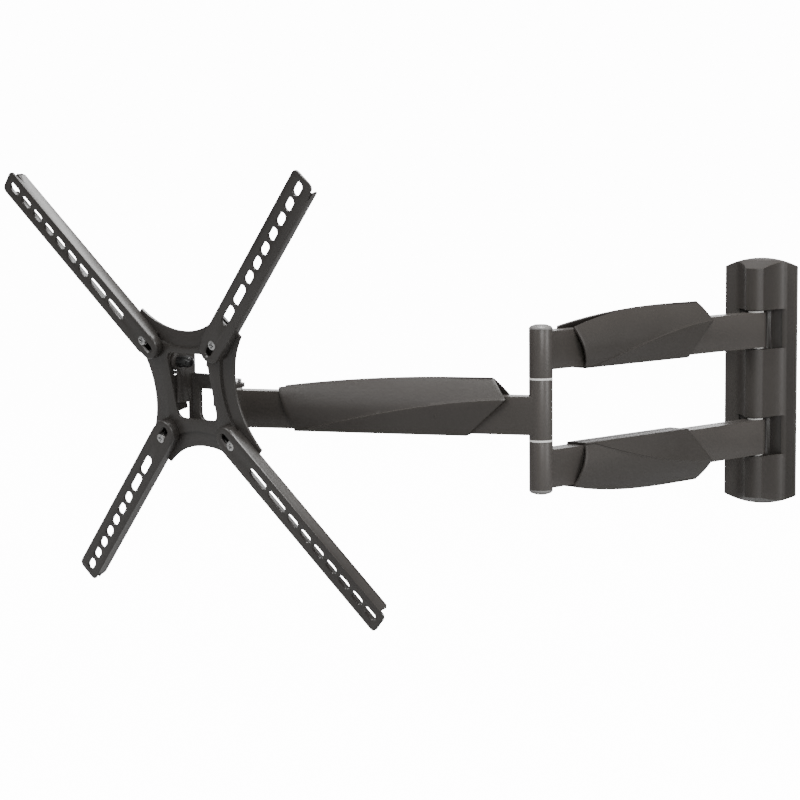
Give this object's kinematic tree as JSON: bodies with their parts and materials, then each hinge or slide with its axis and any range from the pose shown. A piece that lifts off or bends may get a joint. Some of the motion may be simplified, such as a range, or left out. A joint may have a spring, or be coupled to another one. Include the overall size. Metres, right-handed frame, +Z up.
{
  "type": "full motion screen wall mount",
  "caption": "Articulated wall mount: a covered wall plate, two-stage folding arm, swivel and tilt head and an X of slotted arms that carry a flat screen.",
  "frame": {"origin": "middle of the wall plate's back face, on the wall", "axes": "+Y into the wall, +Z up, +X to the right when facing the wall; the room is on -Y"},
  "size_m": [0.7222, 0.5347, 0.4217],
  "materials": {
    "steel_black": "satin dark grey-brown powder coat",
    "plate_black": "satin dark powder coat",
    "cover_plastic": "fine satin plastic",
    "zinc": "bright zinc",
    "dark_screw": "black oxide",
    "nylon": "natural nylon"
  },
  "bodies": {
    "wall_unit": {"wall_plate": "steel_black", "wall_cover": "cover_plastic", "upper_bracket": "steel_black", "lower_bracket": "steel_black", "wall_pins": "zinc", "wall_clips": "zinc"},
    "first_stage": {"upper_arm": "steel_black", "lower_arm": "steel_black", "wall_bushes": "nylon", "upper_cover_front": "cover_plastic", "upper_cover_back": "cover_plastic", "lower_cover_front": "cover_plastic", "lower_cover_back": "cover_plastic", "elbow_shaft": "zinc", "elbow_caps": "cover_plastic"},
    "second_stage": {"second_arm": "steel_black", "second_cover_front": "cover_plastic", "second_cover_back": "cover_plastic", "elbow_bushes": "nylon", "head_bushes": "nylon"},
    "swivel_head": {"head_yoke": "plate_black", "head_pin": "dark_screw", "head_nut": "dark_screw", "stop_pins": "dark_screw"},
    "tilt_plate": {"centre_plate": "plate_black", "tilt_bolt": "dark_screw", "tilt_nut": "dark_screw", "pivot_bolt": "dark_screw", "pivot_nut": "dark_screw", "tilt_washers": "nylon", "arm_bolts": "zinc", "arm_spacers": "zinc"},
    "slide_tl": {"screen_arm_tl": "plate_black"},
    "slide_tr": {"screen_arm_tr": "plate_black"},
    "slide_bl": {"screen_arm_bl": "plate_black"},
    "slide_br": {"screen_arm_br": "plate_black"}
  },
  "joints": [
    {"name": "wall_swivel", "type": "hinge", "parent": "wall_unit", "child": "first_stage", "pos_m": [0, -0.028, 0], "axis": [0, 0, 1], "range_deg": [-66, 114]},
    {"name": "elbow", "type": "hinge", "parent": "first_stage", "child": "second_stage", "pos_m": [-0.13626, -0.33404, 0], "axis": [0, 0, 1], "range_deg": [-90, 195]},
    {"name": "head_swivel", "type": "hinge", "parent": "second_stage", "child": "swivel_head", "pos_m": [-0.4453, -0.35836, -0.0055], "axis": [0, 0, 1], "range_deg": [-154.5, 25.5]},
    {"name": "tilt", "type": "hinge", "parent": "swivel_head", "child": "tilt_plate", "pos_m": [-0.4619, -0.4016, 0.0423], "axis": [0.9336, -0.3584, 0], "range_deg": [-17.5, 2.5]},
    {"name": "slide_tl", "type": "slide", "parent": "tilt_plate", "child": "slide_tl", "axis": [-0.715, 0.1105, 0.6903], "range_m": [0, 0.011]},
    {"name": "slide_tr", "type": "slide", "parent": "tilt_plate", "child": "slide_tr", "axis": [0.6053, -0.3963, 0.6903], "range_m": [0, 0.011]},
    {"name": "slide_bl", "type": "slide", "parent": "tilt_plate", "child": "slide_bl", "axis": [-0.6053, 0.3963, -0.6903], "range_m": [0, 0.011]},
    {"name": "slide_br", "type": "slide", "parent": "tilt_plate", "child": "slide_br", "axis": [0.715, -0.1105, -0.6903], "range_m": [0, 0.011]}
  ]
}
